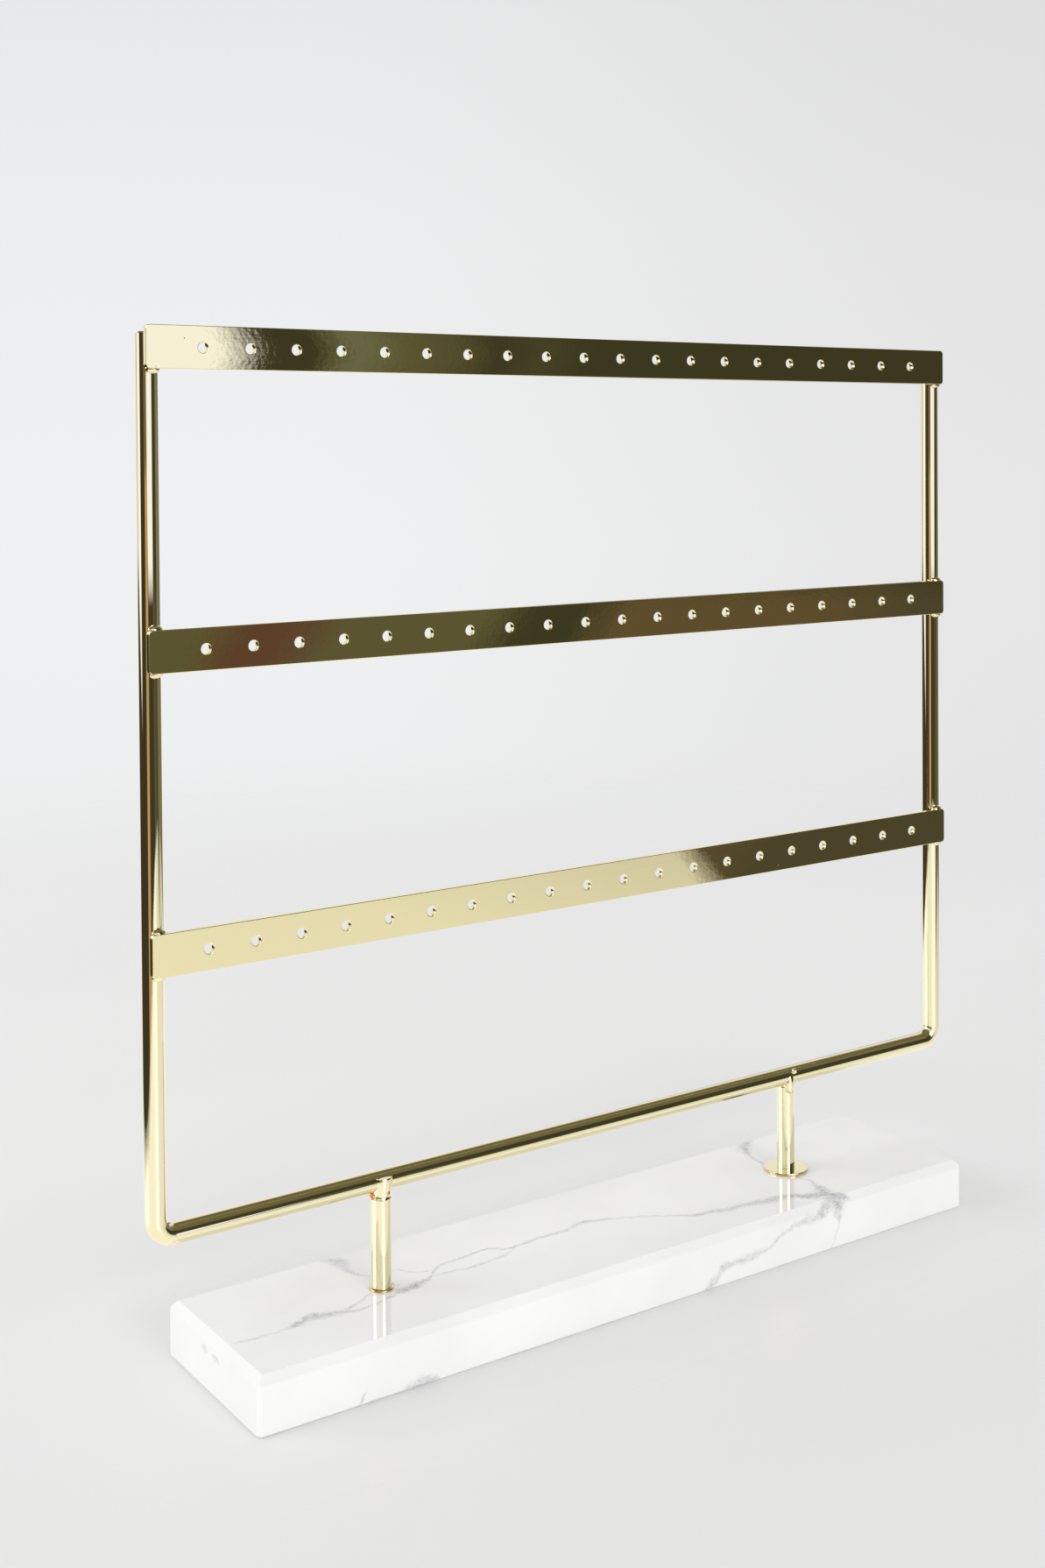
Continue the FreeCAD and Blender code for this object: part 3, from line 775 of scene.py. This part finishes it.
backdrop, window, gap = (0.9, 0.9, 0.92, 1), (1.1, 1.12, 1.3, 1), (1.04, 1.07, 1.32, 1)
dark, umber, door = (0.05, 0.048, 0.028, 1), (0.048, 0.042, 0.024, 1), (0.56, 0.36, 0.2, 1)
dim, shadow, lintel = (0.2, 0.19, 0.13, 1), (0.3, 0.3, 0.26, 1), (0.2, 0.13, 0.08, 1)
olive, bronze, brown = (0.115, 0.11, 0.06, 1), (0.12, 0.09, 0.05, 1), (0.12, 0.06, 0.045, 1)
moss, soot, pale = (0.17, 0.185, 0.13, 1), (0.075, 0.068, 0.045, 1), (0.8, 0.78, 0.72, 1)
right_walls = [(62, dark), (72, dim), (143, dim), (152, backdrop), (180, backdrop)]
upper = wall_colours([
    (-180, backdrop), (-156, backdrop), (-151, shadow), (-143, shadow), (-139, window),
    (-103, window), (-97, umber), (-60, umber), (-54, lintel), (-31, lintel), (-24, gap),
    (25.8, gap), (26.4, dark), (28.4, dark), (29.3, moss), (30.2, olive), (32.0, olive),
    (33.2, dark), (35.0, dark), (35.6, olive), (36.4, dark),
] + right_walls)
lower = wall_colours([
    (-180, backdrop), (-172, backdrop), (-165, umber), (-54, umber), (-48, door), (-29, door),
    (-23, dark), (24, dark), (26.5, olive), (29.7, olive), (30.3, brown), (32.3, brown),
    (32.8, olive), (38.6, olive), (39.4, dark), (41.0, dark), (41.6, bronze), (48, bronze),
    (51, soot), (56, soot),
] + right_walls)
high = wall_colours([
    (-180, backdrop), (-110, backdrop), (-95, pale), (-25, pale), (20, pale), (27, dark),
] + right_walls)
sill = wall_colours([
    (angle, grey(drop)) for angle, drop in (
        (-180, 0.05), (-139, 0.05), (-103, 0.13), (-96, 0.05), (-60, 0.05),
        (-55, 0.0), (-30, 0.0), (-22, 0.06), (180, 0.06),
    )
])
below = spread(tree, maths(tree, "ADD", z, sill), 0.0, -0.02)
walls = blend(tree, below, upper, lower)
walls = blend(tree, spread(tree, z, 0.17, 0.27), walls, high)
behind = maths(tree, "MULTIPLY", spread(tree, y, 0.1, 0.35), spread(tree, z, 0.08, 0.16))
walls = blend(tree, behind, walls, backdrop)
ceiling = spread(tree, z, 0.5, 0.74, interpolation_type="SMOOTHSTEP")
mirrored = blend(tree, ceiling, walls, (0.16, 0.142, 0.078, 1))
# What the camera sees: a pale grey that falls off above, below and to the right.
seen = colour_ramp(spread(tree, z, -0.6, 0.5), [
    (position, grey(level)) for position, level in (
        (0.0, 0.78), (0.15, 0.7), (0.27, 0.85), (0.5, 0.885), (0.65, 0.86), (0.77, 0.81), (1.0, 1.0),
    )
])
side = spread(tree, x, 0.45, 0.78, interpolation_type="SMOOTHSTEP")
side = blend(tree, side, (0.985, 0.99, 1.0, 1), grey(0.9))
seen = blend(tree, 1.0, seen, side, blend_type="MULTIPLY")
plain = spread(tree, z, 0.0, 1.0, 0.84, 0.73)
path = add_node(tree, "LightPath")
shown = blend(tree, path.outputs["Is Glossy Ray"], plain, mirrored)
shown = blend(tree, path.outputs["Is Camera Ray"], shown, seen)
glow = add_node(tree, "Background", {"Color": shown, "Strength": 1.0})
add_node(tree, "OutputWorld", {"Surface": glow.outputs[0]})


# Lights: soft boxes by the window and above the front, and a low fill that no mirror shows.

AIM_HEIGHT = 0.1


def soft_light(name, bearing, height, distance, width, tall, strength):
    """A soft box aimed at the stand and hidden from the camera; its angles are in degrees."""
    a, e = math.radians(bearing), math.radians(height)
    light = bpy.data.lights.new(name, "AREA")
    light.shape = "RECTANGLE"
    light.size = width
    light.size_y = tall
    light.energy = strength
    lamp = bpy.data.objects.new(name, light)
    bpy.context.collection.objects.link(lamp)
    reach = distance * math.cos(e)
    lamp.location = (reach * math.sin(a), -reach * math.cos(a), AIM_HEIGHT + distance * math.sin(e))
    aim = -lamp.location
    aim.z += AIM_HEIGHT
    lamp.rotation_euler = aim.to_track_quat("-Z", "Y").to_euler()
    lamp.visible_camera = False
    return lamp


soft_light("window_light", -115, 22, 3.0, 2.0, 0.9, 27)
soft_light("front_light", -2, 21, 2.4, 1.0, 0.6, 10)
soft_light("low_fill", -20, 3, 2.4, 1.5, 0.8, 15).visible_glossy = False


# Camera: at the photograph's place, a little lower than the top strip, with the picture
# shifted down.

FRAME_ROWS, FOCAL_ROWS, LEVEL_ROW = 1790, 2151.9, 556.4
VIEWPOINT = (-0.29743, -0.40230, 0.22018)
YAW, PITCH, ROLL = 0.59867, -0.01932, -0.00712

camera = bpy.data.cameras.new("camera")
camera.sensor_fit = "VERTICAL"
camera.sensor_height = 36.0
camera.sensor_width = 24.0
camera.lens = camera.sensor_height * FOCAL_ROWS / FRAME_ROWS
camera.shift_y = (LEVEL_ROW - FRAME_ROWS / 2) / FRAME_ROWS
camera.clip_start = 0.01
viewer = bpy.data.objects.new("camera", camera)
bpy.context.collection.objects.link(viewer)
viewer.matrix_world = (
    Matrix.Translation(VIEWPOINT) @ Matrix.Rotation(-YAW, 4, "Z")
    @ Matrix.Rotation(math.pi / 2 + PITCH, 4, "X") @ Matrix.Rotation(ROLL, 4, "Z")
)
bpy.context.scene.camera = viewer
bpy.context.scene.view_settings.view_transform = "Standard"
